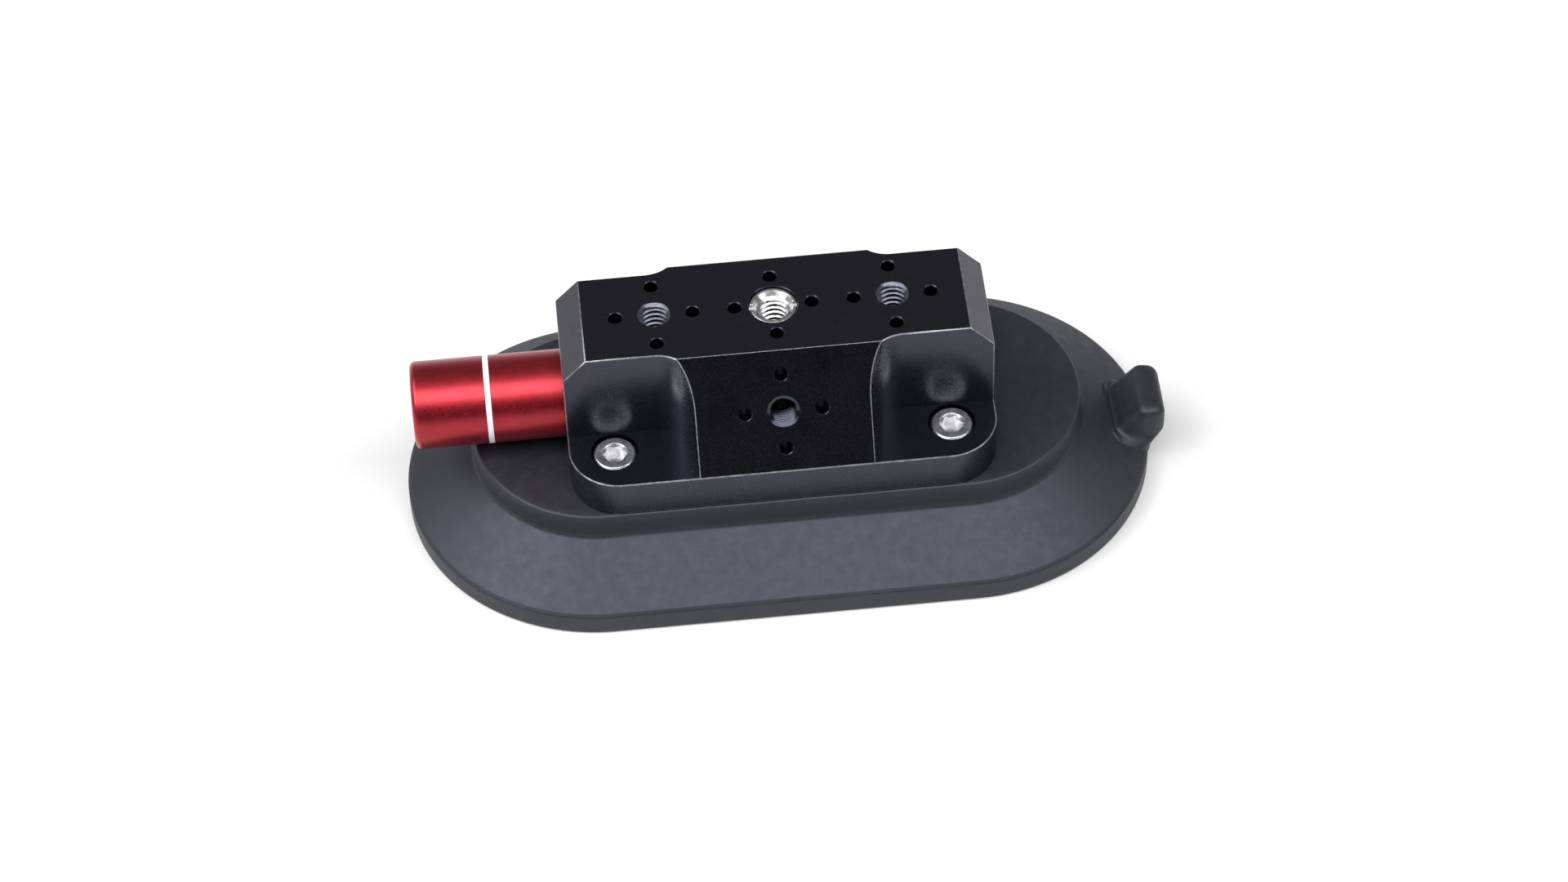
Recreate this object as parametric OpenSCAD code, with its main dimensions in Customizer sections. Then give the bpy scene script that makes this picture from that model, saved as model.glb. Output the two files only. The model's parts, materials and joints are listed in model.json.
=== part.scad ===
// Vacuum mounting block: a machined block with a hand pump, on a moulded rubber suction pad.
// Millimetres, +Z up, +X along the block. The origin is the centre of the pad's sealing plane.

/* [Block] */
// Overall length of the block
block_length = 83.8; // [76:0.2:100]
// Thickness of metal above the pump's cylinder
metal_over_cylinder = 10.85; // [10:0.05:16]
// Thickness of metal beside the pump's cylinder
metal_beside_cylinder = 1.55; // [1.2:0.05:3]
// Thickness of metal under the pump's cylinder
metal_under_cylinder = 0.65; // [0.6:0.05:2]
// Thickness of the flange at the screws
flange_height = 8.6; // [8.2:0.1:11]
// Distance that the boss stands out from the pocket walls at the top
boss_proud = 1.6; // [0.6:0.1:3]
// Length of the sloped boss between the pockets
boss_length = 34.2; // [30:0.2:38]
// Radius in the upright corner of each pocket
pocket_radius = 7; // [3:0.5:8]
// Corner radius of the flange
flange_corner_radius = 10; // [4:0.5:12]
// Length of the bevel at each end of the top
end_bevel_length = 4.6; // [2:0.2:6]
// Height of the bevel at each end of the top
end_bevel_height = 5.1; // [2:0.1:6]
// Small bevel on the outer edges
edge_bevel = 0.4; // [0.2:0.05:0.6]

/* [Mounting holes] */
// Distance from each outer threaded hole to the end of the block
hole_from_end = 18.7; // [16:0.1:22]
// Radius of a quarter inch threaded hole
quarter_radius = 3.175; // [3:0.005:3.3]
// Radius of a three eighths inch threaded hole
three_eighths_radius = 4.7625; // [4.6:0.0005:4.9]
// Depth of the threaded holes
thread_depth = 8.6; // [6:0.2:9]
// Radius of the circle of locating pin holes round a threaded hole
pin_circle_radius = 7.5; // [7:0.1:7.8]
// Radius of a locating pin hole
pin_radius = 1.35; // [1:0.05:1.6]
// Depth of the locating pin holes
pin_depth = 5; // [3:0.5:6]
// Bevel at the mouth of a threaded hole
mouth_bevel = 0.15; // [0.1:0.05:0.5]
// Depth of the reducer bushing's top below the block's top
bushing_sunk = 0.35; // [0.1:0.05:0.6]
// Bevel at the mouth of the reducer bushing
bushing_mouth_bevel = 0.8; // [0.3:0.1:1]
// Width of the screwdriver slot in the reducer bushing
bushing_slot_width = 1.2; // [1:0.1:2]
// Depth of the screwdriver slot in the reducer bushing
bushing_slot_depth = 1.2; // [0.8:0.1:2]

/* [Pad screws] */
// Distance from each screw to the flange's edges
screw_from_edge = 8.9; // [7:0.1:12]
// Radius of the counterbore for the screw head
counterbore_radius = 4.65; // [4.5:0.05:5]
// Radius of the screw shank
screw_radius = 2.5; // [2.5:0.1:2.6]
// Radius of the screw head
head_radius = 4.25; // [4:0.05:4.4]
// Height of the screw head
head_height = 5; // [4.4:0.1:5]
// Size of the hexagon socket across its flats
socket_size = 4; // [3:0.5:5]
// Length of the screw shank
screw_length = 12; // [10:0.5:14.5]
// Depth of the screw head below the flange's top
head_recess = 0.3; // [0:0.1:0.6]

/* [Suction pad] */
// Width of the sloped skirt round the pad's raised middle
skirt_width = 13.95; // [10:0.05:20]
// Distance that the raised middle reaches past each end of the block
plateau_end_margin = 18.5; // [16:0.1:26]
// Distance that the raised middle reaches past each side of the block
plateau_side_margin = 0.3; // [0.1:0.1:4]
// Height of the pad's flat top
pad_height = 18.2; // [18:0.2:22]
// Height of the skirt where it meets the raised middle
skirt_height = 12.6; // [11:0.1:14]
// Height of the pad's outer edge
rim_height = 4.9; // [4:0.1:6]
// Width of the lip that seals on the surface
lip_width = 7; // [5:0.5:10]
// Depth of the hollow under the pad
cavity_depth = 3.6; // [2:0.1:3.8]
// Width of the lift tab at its root
tab_width = 17.2; // [12:0.2:22]
// Width of the lift tab at its top
tab_top_width = 13; // [8:0.2:16]
// Height of the lift tab's top above the sealing plane
tab_height = 14.4; // [12:0.2:18]
// Distance of the lift tab's root from the pad's end
tab_root = 8.4; // [6:0.2:11]
// Distance that the lift tab reaches past the pad's end
tab_overhang = 2.6; // [1:0.1:5]

/* [Pad core] */
// Thickness of the steel plate moulded into the pad
plate_thickness = 3; // [2:0.2:4]
// Margin of rubber round the steel plate
plate_margin = 3.2; // [2:0.2:5]
// Height of the locating key under the block
key_height = 2; // [1.5:0.1:2.5]
// Distance from the locating key to the threaded inserts
key_gap = 0.8; // [0.4:0.1:3]
// Distance from the locating key to each end of the block
key_from_end = 3.1; // [2.6:0.1:3.4]
// Outer radius of a threaded insert
insert_radius = 4.2; // [3.8:0.1:4.4]

/* [Pump] */
// Outer radius of the plunger
plunger_radius = 8.65; // [7.5:0.05:10.5]
// Length of plunger that still shows when it is pressed in
plunger_left_out = 1.6; // [0.5:0.1:6]
// Travel of the plunger
stroke = 28; // [20:0.5:34]
// Running clearance of the plunger in its bore
plunger_clearance = 0.05; // [0.02:0.01:0.08]
// Step from the plunger's radius out to the cylinder's
cylinder_step = 0.6; // [0.5:0.05:1.2]
// Distance of the white ring from the plunger's outer end
ring_from_end = 14.9; // [8:0.1:20]
// Width of the white ring
ring_width = 1.1; // [0.6:0.1:2]
// Wall of the plunger's shell
shell_wall = 1.75; // [1.4:0.05:2.1]
// Rounding of the plunger's outer edge
shell_rounding = 1.2; // [0.5:0.1:2]
// Length of the piston's head
head_length = 8; // [7.6:0.2:9]
// Radius of the rod inside the spring
rod_radius = 3.4; // [2.6:0.1:3.5]
// Radius of the return spring's wire
wire_radius = 0.45; // [0.3:0.05:0.5]
// Number of coils in the return spring
spring_coils = 15; // [10:1:15]
// Thickness of the plug that closes the cylinder
plug_thickness = 7; // [6.4:0.2:8]
// Radius of the passage from the pump to the valve
port_radius = 1.2; // [0.8:0.1:1.4]

/* [Check valve] */
// Outer radius of the valve body's stem
valve_radius = 5; // [4.9:0.1:5.4]
// Radius of the valve body's flange
valve_flange_radius = 7; // [6:0.2:9]
// Thickness of the valve body's flange
valve_flange_thickness = 2; // [1.6:0.1:2.2]
// Travel of the valve's poppet
poppet_travel = 1.2; // [0.8:0.1:1.4]

/* [Fits] */
// Clearance round pieces that are fixed
fixed_gap = 0.02; // [0.01:0.01:0.05]
// Clearance of moving seals
seal_gap = 0.03; // [0.02:0.01:0.08]
// Gap between two moulded pieces that flex apart
flex_gap = 0.05; // [0.04:0.01:0.2]

/* [Hidden] */
$fn = 64;
e = 0.5;
half_block = block_length / 2;
cylinder_radius = plunger_radius + cylinder_step;
web_y = cylinder_radius + metal_beside_cylinder;
boss_y = web_y + boss_proud;
boss_x = boss_length / 2;
screw_x = half_block - screw_from_edge;
screw_y = web_y + counterbore_radius + 0.05;
flange_y = screw_y + screw_from_edge;
flange_width = 2 * flange_y;
bore_z = pad_height + metal_under_cylinder + cylinder_radius;
flange_top = pad_height + flange_height;
block_top = bore_z + cylinder_radius + metal_over_cylinder;
hole_pitch = half_block - hole_from_end;
plateau_length = block_length + 2 * plateau_end_margin;
plateau_width = flange_width + 2 * plateau_side_margin;
pad_length = plateau_length + 2 * skirt_width;
pad_width = plateau_width + 2 * skirt_width;
key_length = block_length - 2 * key_from_end;
key_width = 2 * (screw_y - insert_radius - key_gap);

// The sloped face of the boss runs from the top's edge to the flange's edge.
slope_run = flange_y - boss_y;
slope_rise = block_top - flange_top;
slope_angle = atan2(slope_rise, slope_run);
slope_y = (flange_y + boss_y) / 2;
slope_z = (flange_top + block_top) / 2;

// Pump, along X. The plunger's outer end is at the left.
shell_left = -half_block - stroke - plunger_left_out;
shell_inner_radius = plunger_radius - shell_wall;
end_wall = 2.5;
plug_right = half_block - 0.5;
plug_left = plug_right - plug_thickness;
head_right = plug_left - 2.5 - stroke;
head_left = head_right - head_length;
spigot_length = 8;
guide_radius = plunger_radius + plunger_clearance;
port_x = plug_left - port_radius - 0.1;
rod_left = shell_left + end_wall + stroke + 1.5;
rod_neck = 2.5;
rod_seat = 4;
spring_radius = rod_radius + 0.5 + wire_radius;
spring_passage = spring_radius + wire_radius + 0.5;
wiper_radius = cylinder_radius + 0.05;
wiper_width = 2.2;
wiper_inset = 1;
seal_depth = 1.6;
seal_width = 2.4;
wear_depth = 1.2;
wear_width = 2.2;
plug_groove_width = 2;
plug_groove_depth = 1.35;

// Pad and its core.
plate_top = pad_height - key_height;
plate_bottom = plate_top - plate_thickness;
plate_length = plateau_length - 2 * plate_margin;
plate_width = plateau_width - 2 * plate_margin;
head_top = flange_top - head_recess;
head_bottom = head_top - head_height;
insert_bottom = head_bottom - screw_length - 1.3;
flange_seat = cavity_depth + valve_flange_thickness;
seat_z = cavity_depth + 4.4;
valve_chamber = 2.9;
inlet_radius = 1.5;
poppet_radius = 2.5;
poppet_disc = 1.2;
retainer_z = plate_top - 2.2;
retainer_thickness = 1;
port_groove_inner = 3.6;
port_groove_outer = 4.5;
port_groove_depth = 1.2;

// Lift tab.
rim_bevel = 0.6;
plateau_edge = 0.6;
foot_fillet = 0.9;
half_pad = pad_length / 2;
skirt_run = skirt_width - rim_bevel - foot_fillet;
tab_sink = 0.8;
tab_root_x = half_pad - tab_root;
tab_root_z = rim_height + (skirt_height - rim_height) * (tab_root - rim_bevel) / skirt_run - tab_sink;
tab_tip_z = rim_height - 1.1;
tab_end_x = half_pad + tab_overhang;

ring_steps = 12;
wire_sides = 6;

// A flat shape with straight sides along X and round ends.
module stadium(length, width) {
    union() {
        translate([-(length - width) / 2, -width / 2]) square([length - width, width]);
        translate([-(length - width) / 2, 0]) circle(d = width);
        translate([(length - width) / 2, 0]) circle(d = width);
    }
}

// A rectangle with rounded corners.
module rounded_rectangle(length, width, radius) {
    union() {
        translate([-length / 2 + radius, -width / 2]) square([length - 2 * radius, width]);
        translate([-length / 2, -width / 2 + radius]) square([length, width - 2 * radius]);
        for (sx = [-1, 1]) for (sy = [-1, 1])
            translate([sx * (length / 2 - radius), sy * (width / 2 - radius)]) circle(r = radius);
    }
}

// Sweeps a section, given as [distance out from the core line, height], round a stadium.
module stadium_ring(core_length, section) {
    reach = core_length / 2;
    union() {
        translate([reach, 0, 0]) rotate([0, 0, -90]) rotate_extrude(angle = 180) polygon(section);
        translate([-reach, 0, 0]) rotate([0, 0, 90]) rotate_extrude(angle = 180) polygon(section);
        for (s = [-1, 1])
            rotate([0, 0, s > 0 ? 0 : 180]) translate([-reach, 0, 0])
                rotate([90, 0, 90]) linear_extrude(2 * reach) polygon(section);
    }
}

// A cylinder along X from x1 to x2 on the pump's axis.
module along_bore(x1, x2, radius) {
    translate([x1, 0, bore_z]) rotate([0, 90, 0]) cylinder(h = x2 - x1, r = radius);
}

// A ring on the pump's axis.
module bore_ring(x1, x2, inner, outer) {
    difference() {
        along_bore(x1, x2, outer);
        along_bore(x1 - e, x2 + e, inner);
    }
}

// A coil of wire along Z that starts at the origin's plane.
module coil(length, radius, wire, coils) {
    rings = coils * ring_steps + 1;
    rise = (length - 2 * wire) / (rings - 1);
    points = [for (i = [0:rings - 1]) for (j = [0:wire_sides - 1])
        let (turn = 360 * i / ring_steps, side = 360 * j / wire_sides, out = radius + wire * cos(side))
            [out * cos(turn), out * sin(turn), wire + rise * i + wire * sin(side)]];
    last = (rings - 1) * wire_sides;
    sides = [for (i = [0:rings - 2]) for (j = [0:wire_sides - 1])
        let (a = i * wire_sides + j, b = i * wire_sides + (j + 1) % wire_sides) each
            [[a, a + wire_sides, b + wire_sides], [a, b + wire_sides, b]]];
    caps = [[for (j = [0:wire_sides - 1]) j], [for (j = [wire_sides - 1:-1:0]) last + j]];
    polyhedron(points = points, faces = concat(sides, caps));
}

// A hole from a face, with a bevelled mouth. The face is the plane z = 0 and the hole runs down.
module hole(radius, depth, bevel) {
    translate([0, 0, -depth]) cylinder(h = depth + e, r = radius);
    translate([0, 0, -bevel]) cylinder(h = bevel + e, r1 = radius, r2 = radius + bevel + e);
}

// A threaded hole with its four locating pin holes.
module hole_group(radius) {
    hole(radius, thread_depth, mouth_bevel);
    for (a = [0:90:270])
        rotate([0, 0, a]) translate([pin_circle_radius, 0, 0]) hole(pin_radius, pin_depth, 0.2);
}

// Puts its children on the middle of the sloped face, side 1 at the rear and side -1 at the front.
module on_slope(side) {
    rotate([0, 0, side > 0 ? 180 : 0])
        translate([0, -slope_y, slope_z]) rotate([slope_angle, 0, 0]) children();
}

// The block seen from its end, with the sloped faces.
module end_outline() {
    b = edge_bevel;
    polygon([
        [-flange_y + b, pad_height], [flange_y - b, pad_height], [flange_y, pad_height + b],
        [flange_y, flange_top], [boss_y, block_top - b / 2], [boss_y - b / 2, block_top],
        [-boss_y + b / 2, block_top], [-boss_y, block_top - b / 2], [-flange_y, flange_top],
        [-flange_y, pad_height + b]
    ]);
}

// The block seen from its side, with the bevelled ends.
module side_outline() {
    b = edge_bevel;
    polygon([
        [-half_block + b, pad_height], [half_block - b, pad_height], [half_block, pad_height + b],
        [half_block, block_top - end_bevel_height], [half_block - end_bevel_length, block_top],
        [-half_block + end_bevel_length, block_top], [-half_block, block_top - end_bevel_height],
        [-half_block, pad_height + b]
    ]);
}

// What the pockets leave of the upper part, seen from above.
module upper_plan() {
    r = pocket_radius;
    union() {
        translate([-half_block - e, -web_y]) square([block_length + 2 * e, 2 * web_y]);
        translate([-boss_x, -flange_y - e]) square([boss_length, flange_width + 2 * e]);
        for (sx = [-1, 1]) for (sy = [-1, 1]) in_corner(sx, sy)
            difference() {
                translate([boss_x - e, web_y - e]) square([r + e, r + e]);
                translate([boss_x + r, web_y + r]) circle(r = r);
            }
    }
}

// Mirrors a shape from the first quarter into another one.
module in_corner(sx, sy) {
    mirror([sx < 0 ? 1 : 0, 0]) mirror([0, sy < 0 ? 1 : 0]) children();
}

// The machined block.
module mounting_block() {
    color([0.05, 0.05, 0.055]) difference() {
        union() {
            intersection() {
                translate([-half_block - e, 0, 0]) rotate([90, 0, 90])
                    linear_extrude(block_length + 2 * e) end_outline();
                translate([0, flange_y + e, 0]) rotate([90, 0, 0])
                    linear_extrude(flange_width + 2 * e) side_outline();
                union() {
                    translate([0, 0, pad_height - e]) linear_extrude(flange_height + e)
                        rounded_rectangle(block_length, flange_width, flange_corner_radius);
                    translate([0, 0, flange_top - e]) linear_extrude(block_top - pad_height)
                        intersection() {
                            upper_plan();
                            rounded_rectangle(block_length, flange_width, flange_corner_radius);
                        }
                }
            }
            translate([0, 0, plate_top]) linear_extrude(key_height + e)
                rounded_rectangle(key_length, key_width, 6);
        }
        // Pump bore, cylinder and wiper groove.
        along_bore(-half_block - e, head_left, guide_radius);
        along_bore(head_left - flex_gap, half_block + e, cylinder_radius);
        along_bore(-half_block + wiper_inset, -half_block + wiper_inset + wiper_width, wiper_radius);
        translate([-half_block - e, 0, bore_z]) rotate([0, 90, 0])
            cylinder(h = e + 0.3, r1 = guide_radius + e + 0.3, r2 = guide_radius);
        // Passage down to the valve.
        translate([port_x, 0, plate_top - e]) cylinder(h = bore_z - plate_top, r = port_radius);
        // Threaded holes and pin holes.
        for (i = [-1, 1]) translate([i * hole_pitch, 0, block_top]) hole_group(quarter_radius);
        translate([0, 0, block_top]) hole_group(three_eighths_radius + fixed_gap);
        for (side = [-1, 1]) on_slope(side) hole_group(quarter_radius);
        // Screw holes with counterbores.
        for (sx = [-1, 1]) for (sy = [-1, 1]) translate([sx * screw_x, sy * screw_y, 0]) {
            translate([0, 0, pad_height - e]) cylinder(h = flange_height, r = screw_radius + 0.25);
            translate([0, 0, head_bottom]) cylinder(h = head_height + 2, r = counterbore_radius);
        }
    }
}

// Upper surface of the pad as a section, from the core line out.
function pad_section(low) = [
    [0, low], [pad_width / 2 - lip_width, low], [pad_width / 2 - lip_width, 0],
    [pad_width / 2 - 0.3, 0], [pad_width / 2, 0.3], [pad_width / 2, rim_height - rim_bevel],
    [pad_width / 2 - rim_bevel, rim_height], [plateau_width / 2 + foot_fillet, skirt_height],
    [plateau_width / 2 + 0.3, skirt_height + 0.6], [plateau_width / 2, pad_height - plateau_edge],
    [plateau_width / 2 - plateau_edge, pad_height], [0, pad_height]
];

// The lift tab seen from the front. Its underside is a plane that lies just under the skirt.
module tab_side() {
    polygon([
        [tab_root_x + flex_gap, tab_root_z + flex_gap], [tab_root_x + 1.2, tab_root_z + 1.4],
        [tab_root_x + 4.6, tab_height - 0.5], [tab_root_x + 5.4, tab_height],
        [tab_end_x - 0.9, tab_height], [tab_end_x, tab_height - 0.9],
        [tab_end_x + 0.2, rim_height + 3.4], [tab_end_x - 1.2, rim_height + 0.9],
        [half_pad, tab_tip_z + flex_gap]
    ]);
}

// The flat seat that the skirt has under the lift tab.
module tab_seat() {
    fall = (tab_root_z - tab_tip_z) / tab_root;
    polygon([
        [tab_root_x, tab_root_z], [tab_root_x, pad_height], [half_pad + e, pad_height],
        [half_pad + e, tab_tip_z - e * fall]
    ]);
}

// The lift tab seen from its end, wider at the root.
module tab_end() {
    polygon([
        [-tab_width / 2, 0], [tab_width / 2, 0], [tab_width / 2, rim_height + 2.2],
        [tab_top_width / 2, tab_height - 1.2], [tab_top_width / 2 - 1.2, tab_height],
        [-tab_top_width / 2 + 1.2, tab_height], [-tab_top_width / 2, tab_height - 1.2],
        [-tab_width / 2, rim_height + 2.2]
    ]);
}

// The moulded rubber pad, with room for its core and for the block's key.
module suction_pad() {
    core = pad_length - pad_width;
    g = fixed_gap;
    color([0.16, 0.16, 0.18]) difference() {
        stadium_ring(core, pad_section(cavity_depth));
        translate([0, 0, plate_bottom - g]) linear_extrude(plate_thickness + 2 * g)
            stadium(plate_length + 2 * g, plate_width + 2 * g);
        translate([0, 0, plate_top]) linear_extrude(key_height + e)
            rounded_rectangle(key_length + 2 * flex_gap, key_width + 2 * flex_gap, 6 + flex_gap);
        for (sx = [-1, 1]) for (sy = [-1, 1])
            translate([sx * screw_x, sy * screw_y, insert_bottom - g])
                cylinder(h = pad_height, r = insert_radius + g);
        translate([port_x, 0, 0]) cylinder(h = plate_top, r = valve_radius + g);
        translate([port_x, 0, 0]) cylinder(h = flange_seat + g, r = valve_flange_radius + g);
        translate([0, tab_width / 2 + flex_gap, 0]) rotate([90, 0, 0])
            linear_extrude(tab_width + 2 * flex_gap) tab_seat();
    }
}

// The lift tab at the pad's end.
module lift_tab() {
    color([0.14, 0.14, 0.16]) intersection() {
        translate([0, tab_width / 2, 0]) rotate([90, 0, 0]) linear_extrude(tab_width) tab_side();
        translate([tab_root_x - e, 0, 0]) rotate([90, 0, 90])
            linear_extrude(tab_root + tab_overhang + 2 * e) tab_end();
    }
}

// The steel plate inside the pad.
module backing_plate() {
    color([0.55, 0.56, 0.58]) difference() {
        translate([0, 0, plate_bottom]) linear_extrude(plate_thickness) stadium(plate_length, plate_width);
        for (sx = [-1, 1]) for (sy = [-1, 1])
            translate([sx * screw_x, sy * screw_y, 0]) cylinder(h = pad_height, r = insert_radius + fixed_gap);
        translate([port_x, 0, 0]) cylinder(h = pad_height, r = valve_radius + fixed_gap);
    }
}

// A threaded insert that stands in the plate and meets the block.
module insert(sx, sy) {
    color([0.72, 0.6, 0.3]) translate([sx * screw_x, sy * screw_y, 0]) difference() {
        translate([0, 0, insert_bottom]) cylinder(h = pad_height - insert_bottom, r = insert_radius);
        translate([0, 0, insert_bottom + 0.6]) cylinder(h = pad_height, r = screw_radius + fixed_gap);
    }
}
module insert_front_left() insert(-1, -1);
module insert_front_right() insert(1, -1);
module insert_rear_left() insert(-1, 1);
module insert_rear_right() insert(1, 1);

// A socket head cap screw that holds the block on the pad.
module cap_screw(sx, sy) {
    color([0.8, 0.8, 0.82]) translate([sx * screw_x, sy * screw_y, 0]) difference() {
        union() {
            translate([0, 0, head_bottom]) cylinder(h = head_height - 0.4, r = head_radius);
            translate([0, 0, head_top - 0.4]) cylinder(h = 0.4, r1 = head_radius, r2 = head_radius - 0.4);
            translate([0, 0, head_bottom - screw_length]) cylinder(h = screw_length + e, r = screw_radius);
        }
        translate([0, 0, head_top - 2.5]) cylinder(h = 3, d = socket_size / cos(30), $fn = 6);
        translate([0, 0, head_top - 0.5])
            cylinder(h = 0.5 + e, r1 = socket_size / 2, r2 = socket_size / 2 + 0.5 + e);
    }
}
module cap_screw_front_left() cap_screw(-1, -1);
module cap_screw_front_right() cap_screw(1, -1);
module cap_screw_rear_left() cap_screw(-1, 1);
module cap_screw_rear_right() cap_screw(1, 1);

// The slotted bushing that takes the centre hole down to a quarter inch.
module reducer_bushing() {
    top = block_top - bushing_sunk;
    length = thread_depth - bushing_sunk - 0.25;
    color([0.82, 0.82, 0.84]) translate([0, 0, top]) difference() {
        union() {
            translate([0, 0, -length]) cylinder(h = length - 0.3, r = three_eighths_radius);
            translate([0, 0, -0.3])
                cylinder(h = 0.3, r1 = three_eighths_radius, r2 = three_eighths_radius - 0.3);
        }
        translate([0, 0, -length - e]) cylinder(h = length + 2 * e, r = quarter_radius);
        translate([0, 0, -bushing_mouth_bevel])
            cylinder(h = bushing_mouth_bevel + e, r1 = quarter_radius,
                r2 = quarter_radius + bushing_mouth_bevel + e);
        translate([-three_eighths_radius - e, -bushing_slot_width / 2, -bushing_slot_depth])
            cube([2 * three_eighths_radius + 2 * e, bushing_slot_width, bushing_slot_depth + e]);
    }
}

// The red plunger: a cup that is open towards the cylinder.
module plunger_shell() {
    r = shell_rounding;
    ring_left = shell_left + ring_from_end - ring_width / 2;
    length = head_left - shell_left;
    color([0.6, 0.04, 0.07]) difference() {
        translate([shell_left, 0, bore_z]) rotate([0, 90, 0]) rotate_extrude()
            union() {
                square([plunger_radius - r, length]);
                translate([0, r]) square([plunger_radius, length - r]);
                translate([plunger_radius - r, r]) circle(r = r);
            }
        along_bore(shell_left + end_wall, head_left + e, shell_inner_radius);
        bore_ring(ring_left, ring_left + ring_width, plunger_radius - 0.4, plunger_radius + e);
    }
}

// The white ring let into the plunger.
module indicator_ring() {
    ring_left = shell_left + ring_from_end - ring_width / 2;
    color([0.95, 0.95, 0.95]) bore_ring(ring_left + fixed_gap, ring_left + ring_width - fixed_gap,
        plunger_radius - 0.4 + fixed_gap, plunger_radius);
}

// The piston's head, fixed in the open end of the shell.
module piston_head() {
    radius = cylinder_radius - 0.1;
    color([0.2, 0.2, 0.22]) difference() {
        union() {
            along_bore(head_left + fixed_gap, head_right, radius);
            along_bore(head_left - spigot_length, head_left + e, shell_inner_radius - fixed_gap);
        }
        along_bore(head_left - spigot_length - e, head_right + e, spring_passage);
        bore_ring(head_left + 0.9, head_left + 0.9 + wear_width, radius - wear_depth, radius + e);
        bore_ring(head_right - 1 - seal_width, head_right - 1, radius - seal_depth, radius + e);
    }
}

// The split ring that carries the piston in the cylinder.
module wear_ring() {
    radius = cylinder_radius - 0.1;
    color([0.85, 0.84, 0.78]) difference() {
        bore_ring(head_left + 0.9 + fixed_gap, head_left + 0.9 + wear_width - fixed_gap,
            radius - wear_depth + fixed_gap, cylinder_radius - seal_gap);
        translate([head_left, -0.3, bore_z]) cube([head_length, 0.6, cylinder_radius + e]);
    }
}

// The cup seal. Its lip opens towards the plunger's outer end.
module piston_seal() {
    radius = cylinder_radius - 0.1;
    inner = radius - seal_depth + fixed_gap;
    outer = cylinder_radius - seal_gap;
    left = head_right - 1 - seal_width + fixed_gap;
    right = head_right - 1 - fixed_gap;
    color([0.12, 0.12, 0.12]) difference() {
        bore_ring(left, right, inner, outer);
        bore_ring(left - e, left + 1.3, inner + 0.45, outer - 0.45);
    }
}

// The spring that pushes the plunger out.
module return_spring() {
    left = shell_left + end_wall + flex_gap;
    right = plug_left - flex_gap;
    color([0.7, 0.7, 0.72]) translate([left, 0, bore_z]) rotate([0, 90, 0])
        coil(right - left, spring_radius, wire_radius, spring_coils);
}

// The rod inside the spring, screwed into the cylinder's plug.
module spring_rod() {
    color([0.75, 0.75, 0.77]) union() {
        along_bore(rod_left, plug_left - fixed_gap, rod_radius);
        along_bore(plug_left - e, plug_left + rod_seat, rod_neck);
    }
}

// The plug that closes the cylinder.
module cylinder_plug() {
    radius = cylinder_radius - fixed_gap;
    groove = plug_left + 1.6;
    color([0.1, 0.1, 0.11]) difference() {
        along_bore(plug_left, plug_right, radius);
        along_bore(plug_left - e, plug_left + rod_seat + fixed_gap, rod_neck + fixed_gap);
        bore_ring(groove, groove + plug_groove_width, radius - plug_groove_depth, radius + e);
        translate([plug_right - 2.2, 0, bore_z]) rotate([0, 90, 0])
            cylinder(h = 3, d = 8 / cos(30), $fn = 6);
    }
}

// The ring that seals the plug in the cylinder.
module plug_seal() {
    radius = cylinder_radius - fixed_gap;
    groove = plug_left + 1.6;
    color([0.1, 0.1, 0.1]) bore_ring(groove + fixed_gap, groove + plug_groove_width - fixed_gap,
        radius - plug_groove_depth + fixed_gap, cylinder_radius - fixed_gap);
}

// The wiper in the mouth of the bore.
module wiper_seal() {
    left = -half_block + wiper_inset;
    color([0.1, 0.1, 0.1]) bore_ring(left + fixed_gap, left + wiper_width - fixed_gap,
        plunger_radius + seal_gap, wiper_radius - fixed_gap);
}

// The valve body, held in the plate by its thread.
module valve_body() {
    color([0.75, 0.6, 0.3]) translate([port_x, 0, 0]) difference() {
        union() {
            translate([0, 0, cavity_depth])
                cylinder(h = valve_flange_thickness, r = valve_flange_radius);
            translate([0, 0, cavity_depth]) cylinder(h = plate_top - cavity_depth, r = valve_radius);
        }
        translate([0, 0, cavity_depth - e]) cylinder(h = seat_z, r = inlet_radius);
        translate([0, 0, cavity_depth - e]) cylinder(h = e + 0.8, r = 3.4);
        translate([0, 0, seat_z]) cylinder(h = plate_top, r = valve_chamber);
        difference() {
            translate([0, 0, plate_top - port_groove_depth]) cylinder(h = 2, r = port_groove_outer);
            translate([0, 0, plate_top - 2]) cylinder(h = 4, r = port_groove_inner);
        }
    }
}

// The poppet that lets air into the pump and not back.
module valve_poppet() {
    color([0.9, 0.88, 0.8]) translate([port_x, 0, 0]) union() {
        translate([0, 0, seat_z + flex_gap]) cylinder(h = poppet_disc, r = poppet_radius);
        translate([0, 0, seat_z + poppet_disc - 0.1])
            cylinder(h = retainer_z - poppet_travel - seat_z - poppet_disc, r = 0.8);
    }
}

// The small spring that closes the poppet.
module valve_spring() {
    low = seat_z + poppet_disc + 0.1;
    color([0.7, 0.7, 0.72]) translate([port_x, 0, low])
        coil(retainer_z - flex_gap - low, 1.6, 0.2, 4);
}

// The disc above the spring, with a hole for the air.
module valve_retainer() {
    color([0.7, 0.6, 0.35]) translate([port_x, 0, retainer_z]) difference() {
        cylinder(h = retainer_thickness, r = valve_chamber - fixed_gap);
        translate([0, 0, -e]) cylinder(h = 3, r = port_radius);
    }
}

// The ring that seals the valve body to the block.
module port_seal() {
    color([0.1, 0.1, 0.1]) translate([port_x, 0, plate_top - port_groove_depth + fixed_gap]) difference() {
        cylinder(h = port_groove_depth - 2 * fixed_gap, r = port_groove_outer - fixed_gap);
        translate([0, 0, -e]) cylinder(h = 3, r = port_groove_inner + fixed_gap);
    }
}

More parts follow.
